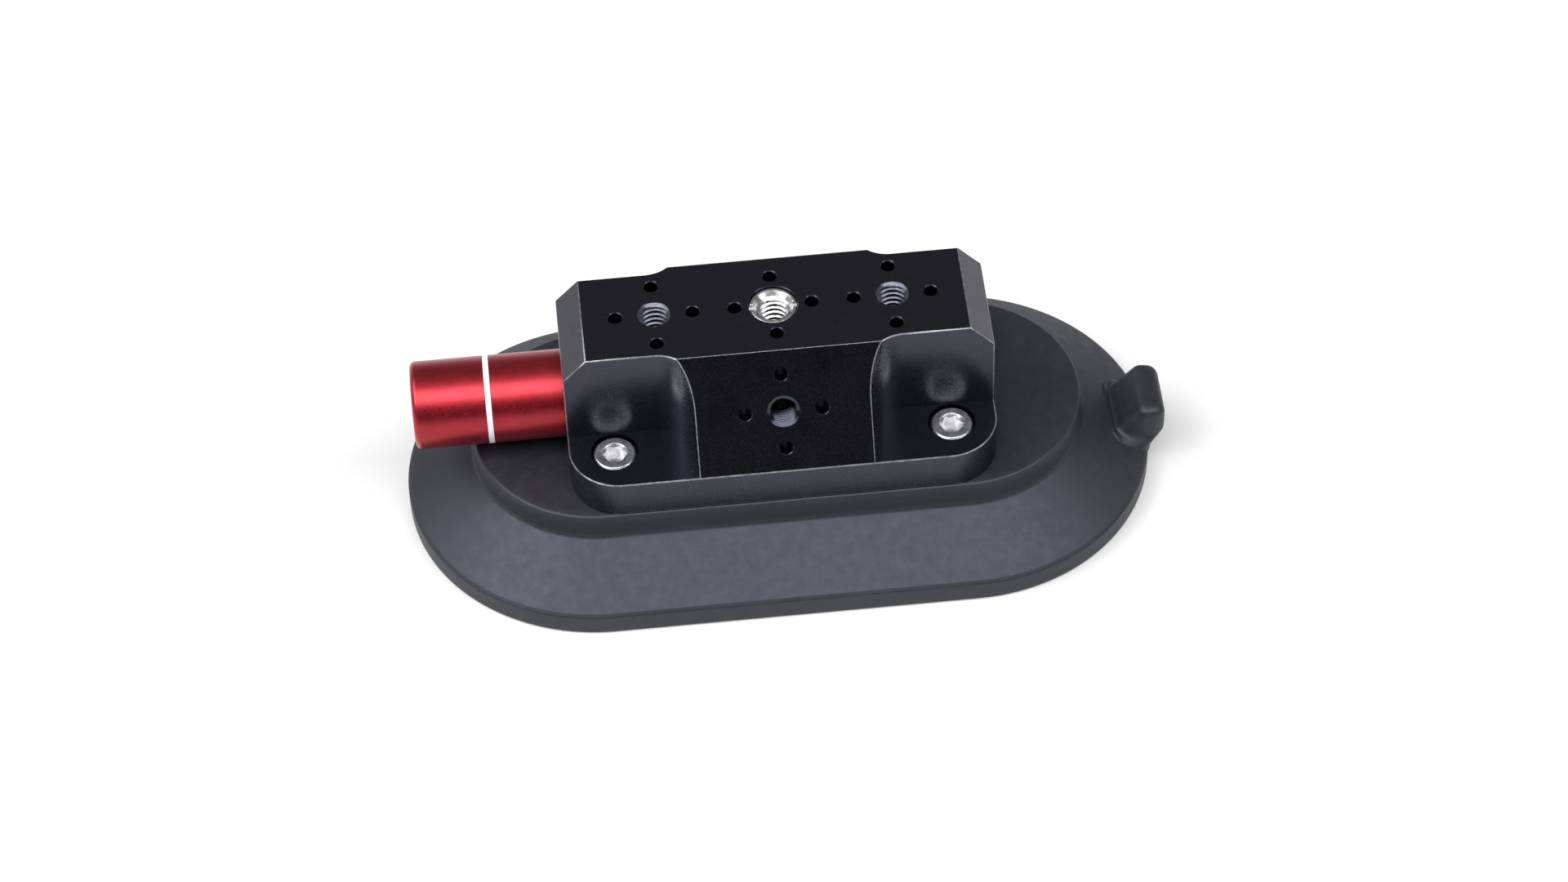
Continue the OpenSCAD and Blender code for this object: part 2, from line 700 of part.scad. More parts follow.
// The screen that keeps dirt out of the valve.
module inlet_screen() {
    color([0.6, 0.6, 0.62]) translate([port_x, 0, cavity_depth + 0.2]) difference() {
        cylinder(h = 0.5, r = 3.4 - fixed_gap);
        for (a = [0:60:300]) rotate([0, 0, a]) translate([1.8, 0, -e]) cylinder(h = 2, r = 0.5);
        translate([0, 0, -e]) cylinder(h = 2, r = 0.5);
    }
}

mounting_block();
suction_pad();
lift_tab();
backing_plate();
insert_front_left();
insert_front_right();
insert_rear_left();
insert_rear_right();
cap_screw_front_left();
cap_screw_front_right();
cap_screw_rear_left();
cap_screw_rear_right();
reducer_bushing();
plunger_shell();
indicator_ring();
piston_head();
piston_seal();
wear_ring();
return_spring();
spring_rod();
cylinder_plug();
plug_seal();
wiper_seal();
valve_body();
valve_poppet();
valve_spring();
valve_retainer();
port_seal();
inlet_screen();
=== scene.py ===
import json
import math

import bmesh
import bpy
from mathutils import Matrix, Vector
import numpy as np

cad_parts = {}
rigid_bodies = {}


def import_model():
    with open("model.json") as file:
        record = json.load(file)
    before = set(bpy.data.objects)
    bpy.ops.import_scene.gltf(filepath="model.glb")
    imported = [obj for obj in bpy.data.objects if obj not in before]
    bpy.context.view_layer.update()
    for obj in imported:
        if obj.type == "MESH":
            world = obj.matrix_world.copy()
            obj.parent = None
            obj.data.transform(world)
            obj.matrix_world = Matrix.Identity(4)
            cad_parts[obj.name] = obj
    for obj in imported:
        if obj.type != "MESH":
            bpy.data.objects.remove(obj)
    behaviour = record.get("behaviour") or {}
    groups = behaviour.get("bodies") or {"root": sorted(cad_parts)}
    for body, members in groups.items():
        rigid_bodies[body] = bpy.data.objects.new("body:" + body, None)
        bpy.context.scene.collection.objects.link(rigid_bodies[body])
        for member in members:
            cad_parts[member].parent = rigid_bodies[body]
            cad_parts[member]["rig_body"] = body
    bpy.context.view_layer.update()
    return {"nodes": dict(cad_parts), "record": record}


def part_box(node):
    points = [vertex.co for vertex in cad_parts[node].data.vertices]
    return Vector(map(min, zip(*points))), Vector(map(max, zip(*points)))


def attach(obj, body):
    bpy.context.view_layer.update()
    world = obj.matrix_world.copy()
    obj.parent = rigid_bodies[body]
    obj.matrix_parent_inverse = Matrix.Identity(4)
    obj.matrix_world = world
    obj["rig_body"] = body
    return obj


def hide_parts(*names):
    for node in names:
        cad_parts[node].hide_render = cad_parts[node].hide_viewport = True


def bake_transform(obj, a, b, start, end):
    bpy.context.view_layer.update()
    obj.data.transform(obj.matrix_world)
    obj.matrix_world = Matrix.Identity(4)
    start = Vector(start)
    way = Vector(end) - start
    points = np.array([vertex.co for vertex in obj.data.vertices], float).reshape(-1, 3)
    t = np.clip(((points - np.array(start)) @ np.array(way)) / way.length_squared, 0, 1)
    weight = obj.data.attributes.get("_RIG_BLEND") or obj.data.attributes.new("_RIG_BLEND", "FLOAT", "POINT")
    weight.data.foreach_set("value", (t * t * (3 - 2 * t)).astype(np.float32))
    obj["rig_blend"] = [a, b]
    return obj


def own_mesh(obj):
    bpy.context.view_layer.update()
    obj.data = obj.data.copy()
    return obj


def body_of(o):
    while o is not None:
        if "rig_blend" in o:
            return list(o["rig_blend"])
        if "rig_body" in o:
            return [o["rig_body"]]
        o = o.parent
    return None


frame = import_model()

# Meshes are worked out in millimetres and stored in metres. Everything else is in metres.
MM = 0.001
SCREW_PLACES = ("front_left", "front_right", "rear_left", "rear_right")
scene = bpy.context.scene


# Camera, light and floor

SENSOR_WIDTH_MM = 36
LENS_MM = 107.42
CAMERA_PLACE = (-0.042340, -0.614750, 0.712530)
CAMERA_RIGHT = (0.994935, -0.097671, -0.023772)
CAMERA_UP = (0.089134, 0.747866, 0.657838)
CAMERA_BACK = (-0.046474, -0.656625, 0.752784)

FLOOR_HALF_MM = 12000
FLOOR_HEIGHT_MM = -0.3

ROOM_COLOUR = (1.0, 0.985, 0.985, 1)


def add_camera():
    data = bpy.data.cameras.new("camera")
    data.sensor_width = SENSOR_WIDTH_MM
    data.lens = LENS_MM
    camera = bpy.data.objects.new("camera", data)
    turn = Matrix((CAMERA_RIGHT, CAMERA_UP, CAMERA_BACK)).transposed().to_4x4()
    camera.matrix_world = Matrix.Translation(CAMERA_PLACE) @ turn
    scene.collection.objects.link(camera)
    scene.camera = camera


def add_softbox(name, away, long_side, distance, length, width, radiance):
    """A soft light in the direction away from the object, with its length along long_side."""
    data = bpy.data.lights.new(name, "AREA")
    data.shape = "RECTANGLE"
    data.size = length
    data.size_y = width
    data.energy = radiance * math.pi * length * width
    light = bpy.data.objects.new(name, data)
    away = Vector(away).normalized()
    across = away.cross(Vector(long_side)).normalized()
    turn = Matrix((across.cross(away), across, away)).transposed().to_4x4()
    light.matrix_world = Matrix.Translation(away * distance) @ turn
    scene.collection.objects.link(light)


def add_world():
    """A room that is dark in front, dim above and behind, and pale along the back wall."""
    world = bpy.data.worlds.new("room")
    world.use_nodes = True
    scene.world = world
    nodes, links = world.node_tree.nodes, world.node_tree.links
    nodes.clear()
    split = nodes.new("ShaderNodeSeparateXYZ")
    links.new(nodes.new("ShaderNodeTexCoord").outputs["Generated"], split.inputs[0])

    def fade(side, start, end, first, last):
        """Goes from first to last as this side of the direction goes from start to end."""
        node = nodes.new("ShaderNodeMapRange")
        node.interpolation_type = "SMOOTHSTEP"
        node.inputs["From Min"].default_value = start
        node.inputs["From Max"].default_value = end
        node.inputs["To Min"].default_value = first
        node.inputs["To Max"].default_value = last
        links.new(split.outputs[side], node.inputs["Value"])
        return node.outputs[0]

    product = nodes.new("ShaderNodeMath")
    product.operation = "MULTIPLY"
    links.new(fade("Z", start=0.05, end=0.45, first=0.5, last=0.22), product.inputs[0])
    links.new(fade("Y", start=-0.35, end=0.25, first=0.07, last=1.0), product.inputs[1])
    background = nodes.new("ShaderNodeBackground")
    background.inputs["Color"].default_value = ROOM_COLOUR
    links.new(product.outputs[0], background.inputs["Strength"])
    out = nodes.new("ShaderNodeOutputWorld")
    links.new(background.outputs[0], out.inputs["Surface"])


# Materials. Colours are linear, and sizes and depths are in metres.

class Finish:
    """A Principled material in object coordinates, made a step at a time."""

    def __init__(self, name, **settings):
        self.material = bpy.data.materials.new(name)
        self.material.use_nodes = True
        self.nodes = self.material.node_tree.nodes
        self.links = self.material.node_tree.links
        self.shader = self.nodes["Principled BSDF"]
        self.place = self.nodes.new("ShaderNodeTexCoord").outputs["Object"]
        self.normal = None
        for key, value in settings.items():
            socket = self.shader.inputs[key.replace("_", " ")]
            socket.default_value = (*value, 1) if isinstance(value, tuple) else value

    def noise(self, size, detail=2.0, roughness=0.5, stretch=(1, 1, 1)):
        """Noise with patches of about this size. Stretch divides it along each axis."""
        place = self.nodes.new("ShaderNodeMapping")
        place.inputs["Scale"].default_value = stretch
        self.links.new(self.place, place.inputs["Vector"])
        node = self.nodes.new("ShaderNodeTexNoise")
        node.inputs["Scale"].default_value = 1.0 / size
        node.inputs["Detail"].default_value = detail
        node.inputs["Roughness"].default_value = roughness
        self.links.new(place.outputs[0], node.inputs["Vector"])
        return node.outputs["Fac"]

    def span(self, source, low, high, start=0.3, end=0.7):
        """Maps a value from start..end to low..high."""
        node = self.nodes.new("ShaderNodeMapRange")
        node.inputs["From Min"].default_value = start
        node.inputs["From Max"].default_value = end
        node.inputs["To Min"].default_value = low
        node.inputs["To Max"].default_value = high
        self.links.new(source, node.inputs["Value"])
        return node.outputs[0]

    def math(self, operation, a, b):
        """A sum or product of two values, each a socket or a number."""
        node = self.nodes.new("ShaderNodeMath")
        node.operation = operation
        for value, socket in ((a, node.inputs[0]), (b, node.inputs[1])):
            if isinstance(value, (int, float)):
                socket.default_value = value
            else:
                self.links.new(value, socket)
        return node.outputs[0]

    def mixed(self, *parts):
        """The sum of (value, weight) pairs."""
        shares = [self.math("MULTIPLY", value, weight) for value, weight in parts]
        total = shares[0]
        for share in shares[1:]:
            total = self.math("ADD", total, share)
        return total

    def colour(self, value, dark, bright, start=0.3, end=0.7):
        """Goes from the dark to the bright colour as the value goes from start to end."""
        factor = self.span(value, 0, 1, start, end)
        node = self.nodes.new("ShaderNodeMix")
        node.data_type = "RGBA"
        node.inputs["A"].default_value = (*dark, 1)
        node.inputs["B"].default_value = (*bright, 1)
        self.links.new(factor, node.inputs["Factor"])
        self.links.new(node.outputs["Result"], self.shader.inputs["Base Color"])

    def rough(self, value):
        self.links.new(value, self.shader.inputs["Roughness"])

    def bump(self, height, depth, strength):
        """Raises the surface by height times depth, on top of any earlier bump."""
        node = self.nodes.new("ShaderNodeBump")
        node.inputs["Strength"].default_value = strength
        node.inputs["Distance"].default_value = depth
        self.links.new(height, node.inputs["Height"])
        if self.normal is not None:
            self.links.new(self.normal, node.inputs["Normal"])
        self.normal = node.outputs[0]
        self.links.new(self.normal, self.shader.inputs["Normal"])


def black_anodised():
    f = Finish("black_anodised", IOR=1.66, Specular_Tint=(0.73, 0.76, 1.0))
    cloud = f.noise(size=0.006, detail=3)
    grain = f.noise(size=0.00035, roughness=0.6)
    f.colour(f.mixed((cloud, 0.5), (grain, 0.5)),
             dark=(0.0005, 0.0005, 0.0007), bright=(0.0014, 0.0014, 0.0020))
    f.rough(f.math("ADD", f.span(grain, 0.22, 0.30), f.span(cloud, -0.02, 0.02)))
    f.bump(f.noise(size=0.00028, roughness=0.6), depth=0.0000025, strength=0.7)
    return f.material


def worn_and_highlit_anodised(name, dark, bright, smoothest, roughest):
    """Thinner anodising, on broken edges and in threads, where the metal shines through. Its colours are
    brighter than the wear alone: a painted highlight for the light these edges and threads catch.
    """
    f = Finish(name, Metallic=0.75)
    wear_and_highlight = f.noise(size=0.0012, detail=3, roughness=0.65)
    f.colour(wear_and_highlight, dark, bright)
    f.rough(f.span(f.noise(size=0.0004), smoothest, roughest))
    f.bump(f.noise(size=0.0003, roughness=0.6), depth=0.000005, strength=0.6)
    return f.material


def red_anodised():
    f = Finish("red_anodised", Metallic=1.0, Coat_Weight=0.4, Coat_Roughness=0.3, Coat_IOR=1.5)
    turning = f.noise(size=0.00018, roughness=0.6, stretch=(1, 0.04, 0.04))
    cloud = f.noise(size=0.004, detail=3)
    grain = f.noise(size=0.00030, detail=3, roughness=0.7)
    f.colour(f.mixed((grain, 0.6), (cloud, 0.4)),
             dark=(0.31, 0.014, 0.023), bright=(0.48, 0.026, 0.040))
    f.rough(f.math("ADD", f.span(grain, 0.32, 0.46), f.span(turning, -0.03, 0.03)))
    f.bump(turning, depth=0.000003, strength=0.4)
    f.bump(grain, depth=0.000026, strength=1.0)
    return f.material


def pad_rubber():
    f = Finish("pad_rubber", Specular_IOR_Level=0.62, Specular_Tint=(0.78, 0.84, 1.0))
    cloud = f.noise(size=0.014, detail=4, roughness=0.6)
    mottle = f.noise(size=0.0022, detail=3, roughness=0.65)
    grain = f.noise(size=0.0005, roughness=0.6)
    f.colour(f.mixed((cloud, 0.45), (mottle, 0.35), (grain, 0.2)), start=0.35, end=0.65,
             dark=(0.0100, 0.0106, 0.0145), bright=(0.0160, 0.0166, 0.0215))
    f.rough(f.span(mottle, 0.46, 0.57))
    f.bump(mottle, depth=0.00003, strength=0.4)
    f.bump(grain, depth=0.00002, strength=0.6)
    return f.material


def white_band():
    f = Finish("white_band")
    stain = f.noise(size=0.003, detail=3)
    f.colour(stain, dark=(0.80, 0.80, 0.80), bright=(0.90, 0.90, 0.90))
    f.rough(f.span(f.noise(size=0.0004), 0.38, 0.52))
    f.bump(f.noise(size=0.0004), depth=0.00001, strength=0.5)
    return f.material


def turned_metal(name, dark, bright, smoothest, roughest, mark_depth=0.000005):
    """Bare metal with fine tool marks and a faint haze."""
    f = Finish(name, Metallic=1.0)
    haze = f.noise(size=0.0018, detail=3, roughness=0.6)
    marks = f.noise(size=0.00016, roughness=0.6)
    f.colour(haze, dark, bright)
    f.rough(f.math("ADD", f.span(haze, smoothest, roughest), f.span(marks, -0.03, 0.05)))
    f.bump(marks, mark_depth, strength=0.6)
    return f.material


def moulded(name, dark, bright, smoothest, roughest):
    """Moulded plastic or seal rubber with a fine grain."""
    f = Finish(name, Specular_IOR_Level=0.35)
    cloud = f.noise(size=0.004, detail=3)
    grain = f.noise(size=0.0005, roughness=0.6)
    f.colour(cloud, dark, bright)
    f.rough(f.span(grain, smoothest, roughest))
    f.bump(grain, depth=0.00001, strength=0.6)
    return f.material


def floor_finish():
    f = Finish("floor", Roughness=0.8, Specular_IOR_Level=0.2, Emission_Color=(1.0, 1.0, 1.0),
               Emission_Strength=0.2)
    f.colour(f.noise(size=0.5, detail=3), dark=(0.58, 0.58, 0.58), bright=(0.60, 0.60, 0.60))
    return f.material


def by_name(make, rows):
    """One finish for each row of name, dark colour, bright colour and roughness range."""
    return {row[0]: make(*row) for row in rows}


FINISHES = {
    "black_anodised": black_anodised(),
    "red_anodised": red_anodised(),
    "pad_rubber": pad_rubber(),
    "white_band": white_band(),
}
FINISHES |= by_name(worn_and_highlit_anodised, (
    # Bevel faces: edge wear, made brighter by a painted highlight
    ("worn_edge", (0.13, 0.135, 0.16), (0.32, 0.325, 0.36), 0.28, 0.42),
    # Threads of the two top holes: wear plus a painted highlight for the light they catch
    ("worn_thread", (0.065, 0.070, 0.092), (0.13, 0.135, 0.17), 0.16, 0.26),
))
FINISHES |= by_name(turned_metal, (
    ("stainless", (0.60, 0.60, 0.62), (0.74, 0.74, 0.75), 0.16, 0.26),
    ("screw_steel", (0.52, 0.52, 0.54), (0.74, 0.74, 0.76), 0.20, 0.34, 0.000016),
    ("plate_steel", (0.36, 0.36, 0.37), (0.48, 0.48, 0.48), 0.32, 0.46),
    ("brass", (0.62, 0.42, 0.16), (0.78, 0.56, 0.26), 0.22, 0.34),
    ("spring_steel", (0.42, 0.41, 0.40), (0.55, 0.54, 0.52), 0.22, 0.34),
))
FINISHES |= by_name(moulded, (
    ("seal_rubber", (0.012, 0.012, 0.013), (0.022, 0.022, 0.024), 0.5, 0.7),
    ("black_plastic", (0.02, 0.02, 0.022), (0.032, 0.032, 0.035), 0.38, 0.52),
    ("bearing_plastic", (0.62, 0.58, 0.48), (0.74, 0.70, 0.60), 0.35, 0.5),
))


# Outlines and meshes, in millimetres

def rounded(corners, steps=5):
    """Turns (x, z, radius) corners into points, with an arc at each corner that has a radius."""
    points = []
    for i, (x, z, radius) in enumerate(corners):
        here = Vector((x, z))
        if radius == 0 or i in (0, len(corners) - 1):
            points.append(here)
            continue
        before = Vector(corners[i - 1][:2]) - here
        after = Vector(corners[i + 1][:2]) - here
        half = before.angle(after) / 2
        reach = radius / math.tan(half)
        inward = (before.normalized() + after.normalized()).normalized()
        centre = here + inward * radius / math.sin(half)
        first = here + before.normalized() * reach - centre
        last = here + after.normalized() * reach - centre
        sweep = first.angle_signed(last)
        for k in range(steps + 1):
            a = -sweep * k / steps
            c, s = math.cos(a), math.sin(a)
            points.append(centre + Vector((first.x * c - first.y * s, first.x * s + first.y * c)))
    return points


def arc(centre, radius, start, end, steps=8):
    """Points on an arc, with its angles in degrees from +X towards +Z."""
    points = []
    for k in range(steps + 1):
        a = math.radians(start + (end - start) * k / steps)
        points.append(Vector((centre[0] + radius * math.cos(a), centre[1] + radius * math.sin(a))))
    return points


def resampled(points, count):
    """This many points at even distances along a line of points."""
    lengths = [0.0]
    for a, b in zip(points, points[1:]):
        lengths.append(lengths[-1] + (b - a).length)
    result = []
    k = 0
    for i in range(count):
        target = lengths[-1] * i / (count - 1)
        while k < len(points) - 2 and lengths[k + 1] < target:
            k += 1
        share = (target - lengths[k]) / (lengths[k + 1] - lengths[k])
        result.append(points[k].lerp(points[k + 1], share))
    return result


def smoothstep(value, start, end):
    """Goes smoothly from 0 at the start to 1 at the end."""
    t = min(1.0, max(0.0, (value - start) / (end - start)))
    return t * t * (3 - 2 * t)


def circle(cx, cy, radius, steps=48):
    angles = [2 * math.pi * i / steps for i in range(steps)]
    return [(cx + radius * math.cos(a), cy + radius * math.sin(a)) for a in angles]


def rounded_box(half_length, half_width, radius, steps=12):
    """A rectangle round the origin with rounded corners."""
    points = []
    for quarter, (sx, sy) in enumerate(((1, 1), (-1, 1), (-1, -1), (1, -1))):
        for k in range(steps + 1):
            a = math.pi / 2 * (quarter + k / steps)
            points.append((sx * (half_length - radius) + radius * math.cos(a),
                           sy * (half_width - radius) + radius * math.sin(a)))
    return points


def oblong(reach, radius, steps=36):
    """A stadium shape along X, with its end circles at plus and minus reach."""
    outline = []
    for side in (1, -1):
        for k in range(steps + 1):
            a = math.pi * (k / steps - 0.5) + (0 if side > 0 else math.pi)
            outline.append((side * reach + radius * math.cos(a), radius * math.sin(a)))
    return outline


def strips(columns, rows, closed):
    """Faces between neighbouring columns of vertices. Closed joins the last column to the first."""
    faces = []
    for c in range(columns if closed else columns - 1):
        d = (c + 1) % columns
        faces += [(c * rows + r, c * rows + r + 1, d * rows + r + 1, d * rows + r)
                  for r in range(rows - 1)]
    return faces


def new_object(name, vertices, faces, material, smooth_angle=35):
    """An object with its points joined, its faces turned outward and its sharp edges kept."""
    join_within = 1e-7
    mesh = bpy.data.meshes.new(name)
    mesh.from_pydata([Vector(v) * MM for v in vertices], [], faces)
    bm = bmesh.new()
    bm.from_mesh(mesh)
    bmesh.ops.remove_doubles(bm, verts=bm.verts, dist=join_within)
    bmesh.ops.dissolve_degenerate(bm, edges=bm.edges, dist=join_within)
    bmesh.ops.recalc_face_normals(bm, faces=bm.faces)
    bm.to_mesh(mesh)
    bm.free()
    if material is not None:
        mesh.materials.append(material)
    return placed(name, mesh, smooth_angle)


def placed(name, mesh, smooth_angle):
    """The object of a finished mesh, smooth where its faces meet below this angle."""
    mesh.shade_smooth()
    mesh.set_sharp_from_angle(angle=math.radians(smooth_angle))
    obj = bpy.data.objects.new(name, mesh)
    scene.collection.objects.link(obj)
    return obj


def prism(name, outline, low, high):
    """An upright solid on an outline."""
    n = len(outline)
    vertices = [(x, y, low) for x, y in outline] + [(x, y, high) for x, y in outline]
    faces = [tuple(range(n)), tuple(range(n, 2 * n))]
    faces += [(i, (i + 1) % n, n + (i + 1) % n, n + i) for i in range(n)]
    return new_object(name, vertices, faces, None)


def combine(target, tool, operation="DIFFERENCE"):
    """Cuts a solid out of the target, or joins it on, for good."""
    modifier = target.modifiers.new("combine", "BOOLEAN")
    modifier.operation = operation
    modifier.solver = "EXACT"
    modifier.object = tool
    bpy.context.view_layer.update()
    graph = bpy.context.evaluated_depsgraph_get()
    mesh = bpy.data.meshes.new_from_object(target.evaluated_get(graph))
    target.modifiers.clear()
    target.data = mesh
    bpy.data.objects.remove(tool)


def size_of(node):
    """A node's lowest and highest corner in millimetres."""
    low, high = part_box(node)
    return [v / MM for v in low], [v / MM for v in high]


# Rubber pad. Heights are from its sealing plane.

PLATEAU_MARGIN = 3.2
PLATEAU_ROUNDING = 0.75
WALL_LEAN = 0.35
FOOT_HEIGHT = 12.6
FOOT_OUT = 0.9
FOOT_ROUNDING = 1.3
RIM_HEIGHT = 4.9
RIM_BEVEL = 0.6
LIP_WIDTH = 7.0
HOLLOW_DEPTH = 3.6
GROOVES_FROM_RIM = (2.4, 4.6)
GROOVE_WIDTH = 0.6
GROOVE_DEPTH = 0.5

END_STEPS = 120
SIDE_STEPS = 30
LONGEST_STEP = 1.6


class PadShape:
    """The pad's sizes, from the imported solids."""

    def __init__(self):
        high = size_of("suction_pad")[1]
        self.half_length, self.half_width, self.top = high
        self.core = self.half_length - self.half_width
        self.plateau = size_of("backing_plate")[1][1] + PLATEAU_MARGIN
        self.foot = self.plateau + FOOT_OUT
        self.slope = (FOOT_HEIGHT - RIM_HEIGHT) / (self.half_width - RIM_BEVEL - self.foot)

    def skirt(self, x, y):
        """Height of the skirt's surface at a place near the right end."""
        out = math.hypot(max(0.0, x - self.core), y)
        return FOOT_HEIGHT - (out - self.foot) * self.slope

    def above_skirt(self, x, height):
        """The point (x, z) at this height over the skirt, on its middle line."""
        return Vector((x, self.skirt(x, 0) + height))


def pad_columns(core):
    """Places round the pad as (start x, direction x, direction y)."""
    end = [math.pi * (i / END_STEPS - 0.5) for i in range(END_STEPS + 1)]
    side = [core * (1 - 2 * i / SIDE_STEPS) for i in range(1, SIDE_STEPS)]
    columns = [(core, math.cos(a), math.sin(a)) for a in end]
    columns += [(x, 0.0, 1.0) for x in side]
    columns += [(-core, -math.cos(a), -math.sin(a)) for a in end]
    columns += [(-x, 0.0, -1.0) for x in side]
    return columns


def pad_section(shape):
    """The pad's section from the middle of its top, over the rim, to the middle of its hollow.
    Its corners are (distance from the middle, height, rounding)."""
    wide = shape.half_width
    lip = wide - LIP_WIDTH
    corners = [
        (0, shape.top, 0),
        (shape.plateau, shape.top, PLATEAU_ROUNDING),
        (shape.plateau + WALL_LEAN, FOOT_HEIGHT + WALL_LEAN, FOOT_ROUNDING),
        (wide - RIM_BEVEL, RIM_HEIGHT, 0.35),
        (wide, RIM_HEIGHT - RIM_BEVEL, 0.5),
        (wide, 0, 0.3),
    ]
    for inset in GROOVES_FROM_RIM:
        corners += [
            (wide - inset, 0, 0.25),
            (wide - inset - GROOVE_WIDTH / 2, GROOVE_DEPTH, 0.2),
            (wide - inset - GROOVE_WIDTH, 0, 0.25),
        ]
    corners += [(lip, 0, 0.6), (lip - 0.5, HOLLOW_DEPTH, 1.2), (0, HOLLOW_DEPTH, 0)]
    section = rounded(corners)
    result = [section[0]]
    for point in section[1:]:
        first = result[-1]
        pieces = max(1, math.ceil((point - first).length / LONGEST_STEP))
        result += [first.lerp(point, k / pieces) for k in range(1, pieces + 1)]
    return result


def add_pad():
    """The moulded pad and its lift tab in one skin, with room for the core."""
    shape = PadShape()
    section = pad_section(shape)
    columns = pad_columns(shape.core)
    vertices = [(x + p.x * dx, p.x * dy, p.y) for x, dx, dy in columns for p in section]
    faces = strips(len(columns), len(section), closed=True)
    pad = new_object("pad_skin", vertices, faces, FINISHES["pad_rubber"])
    combine(pad, tab_loft(shape), "UNION")
    carve_core(pad, shape.top)
    pad.data.shade_smooth()
    pad.data.set_sharp_from_angle(angle=math.radians(38))
    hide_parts("suction_pad", "lift_tab")
    root = size_of("lift_tab")[0][0]
    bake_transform(pad, "base", "tab", start=((root - 7) * MM, 0, 0.009), end=((root + 1) * MM, 0, 0.009))


# Lift tab. From the top down its parts are the crown, the turn, the face, the flare on to the
# skirt, the edge that sinks into it, and an end inside the pad. Every line has a piece for each.

TAB_STEPS = (3, 6, 8, 7, 4, 3)
TAB_CORNER_STEPS = 8
TAB_CROWN_X = 73.35
TAB_CROWN_INSET = 0.4
TAB_TURN_RADIUS = 2.3
TAB_LEAN_DEGREES = 52
TAB_FOOT_X = 67.6
# Where the inner line meets the skirt, as (distance inward from the foot, height above the skirt)
TAB_ROOT = ((0, 0.5), (0.4, 0.08), (1.05, 0.42), (1.6, -0.35))
TAB_INNER_SINK = (0.2, -1.0)
TAB_OUTER_SINK = (-0.6, -0.8)
# The tab takes on the skirt's curve over these rings, and less so over these shares of a ring
SETTLE_RINGS = (sum(TAB_STEPS[:2]), sum(TAB_STEPS[:4]))
SETTLE_SHARES = (0.55, 1.0)


def in_steps(parts):
    """One line of points from a list of lines, each cut into its number of even steps."""
    points = [parts[0][0]]
    for part, steps in zip(parts, TAB_STEPS):
        points += resampled(part, steps + 1)[1:]
    return points


def line(*values):
    """A line through these values."""
    return [Vector((value, 0)) for value in values]


def held(value):
    """A line that stays at one value."""
    return [Vector((value, 0)), Vector((value, 0.1))]


def tab_inner(shape, crown):
    """The line down the tab's inner face, as (x, z) points."""
    radius = TAB_TURN_RADIUS
    turn = arc((TAB_CROWN_X, crown - radius), radius, 90, 90 + TAB_LEAN_DEGREES)
    foot, hollow, ridge, end = [shape.above_skirt(TAB_FOOT_X - inward, height)
                                for inward, height in TAB_ROOT]
    deep = end + Vector(TAB_INNER_SINK)
    return in_steps([[Vector((TAB_CROWN_X + TAB_CROWN_INSET, crown)), turn[0]], turn,
                     [turn[-1], foot], [foot, hollow, ridge], [ridge, end], [end, deep]])


def tab_outer(shape, tip, crown):
    """The line down the tab's outer face and back under it to the rim, as (x, z) points."""
    radius = TAB_TURN_RADIUS
    turn = arc((tip - radius, crown - radius), radius, 90, 0)
    rim = shape.half_length
    corners = [(tip, crown - radius - 1.5, 0), (tip, 7.6, 1.6),
               (rim + 0.15, 4.7, 0.8), (rim - 0.05, 3.4, 0)]
    side = resampled(rounded(corners, 6), 20)
    deep = side[-1] + Vector(TAB_OUTER_SINK)
    return in_steps([[Vector((tip - radius - 0.25, crown)), turn[0]], turn, [turn[-1]] + side[:9],
                     side[8:17], side[16:], [side[-1], deep]])


def tab_loft(shape):
    """The lift tab as rings from its crown down into the skirt. Each ring is a rounded rectangle
    between a point of the inner line and one of the outer line."""
    high = size_of("lift_tab")[1]
    tip, crown = high[0], high[2]
    inner = tab_inner(shape, crown)
    outer = tab_outer(shape, tip, crown)
    half_widths = in_steps([line(4.4, 4.8), arc((4.8, 0), 2.0, 90, 0), line(6.8, 7.0),
                            line(7.0, 7.75, 8.9), line(8.9, 9.5), held(9.5)])
    corner_radii = in_steps([line(0.8, 1.1), line(1.1, 2.3), line(2.3, 2.6),
                             line(2.6, 3.8), line(3.8, 4.2), held(4.2)])
    rings = []
    for k, (a, b) in enumerate(zip(inner, outer)):
        half = half_widths[k].x
        length = (b - a).length
        radius = min(corner_radii[k].x, 0.49 * length, half * 0.95)
        settle = smoothstep(k, *SETTLE_RINGS)
        ring = []
        for u, y in rounded_box(length / 2, half, radius, TAB_CORNER_STEPS):
            share = min(1.0, max(0.0, u / length + 0.5))
            place = a.lerp(b, share)
            drop = (shape.skirt(place.x, 0) - shape.skirt(place.x, y)) * settle
            ring.append((place.x, y, place.y - drop * (1 - smoothstep(share, *SETTLE_SHARES))))
        rings.append(ring)
    n = len(rings[0])
    vertices = [v for ring in rings for v in ring]
    faces = [tuple(range(n)), tuple(reversed(range((len(rings) - 1) * n, len(rings) * n)))]
    for k in range(len(rings) - 1):
        a, b = k * n, (k + 1) * n
        faces += [(a + i, a + (i + 1) % n, b + (i + 1) % n, b + i) for i in range(n)]
    return new_object("tab_part", vertices, faces, FINISHES["pad_rubber"])


# Room in the pad for what is moulded in or set in it

CORE_GAP = 0.03
KEY_HALF_LENGTH = 38.85
KEY_HALF_WIDTH = 10.55
KEY_CORNER = 6.05
VALVE_FLANGE = 2
VALVE_STEM_RADIUS = 5


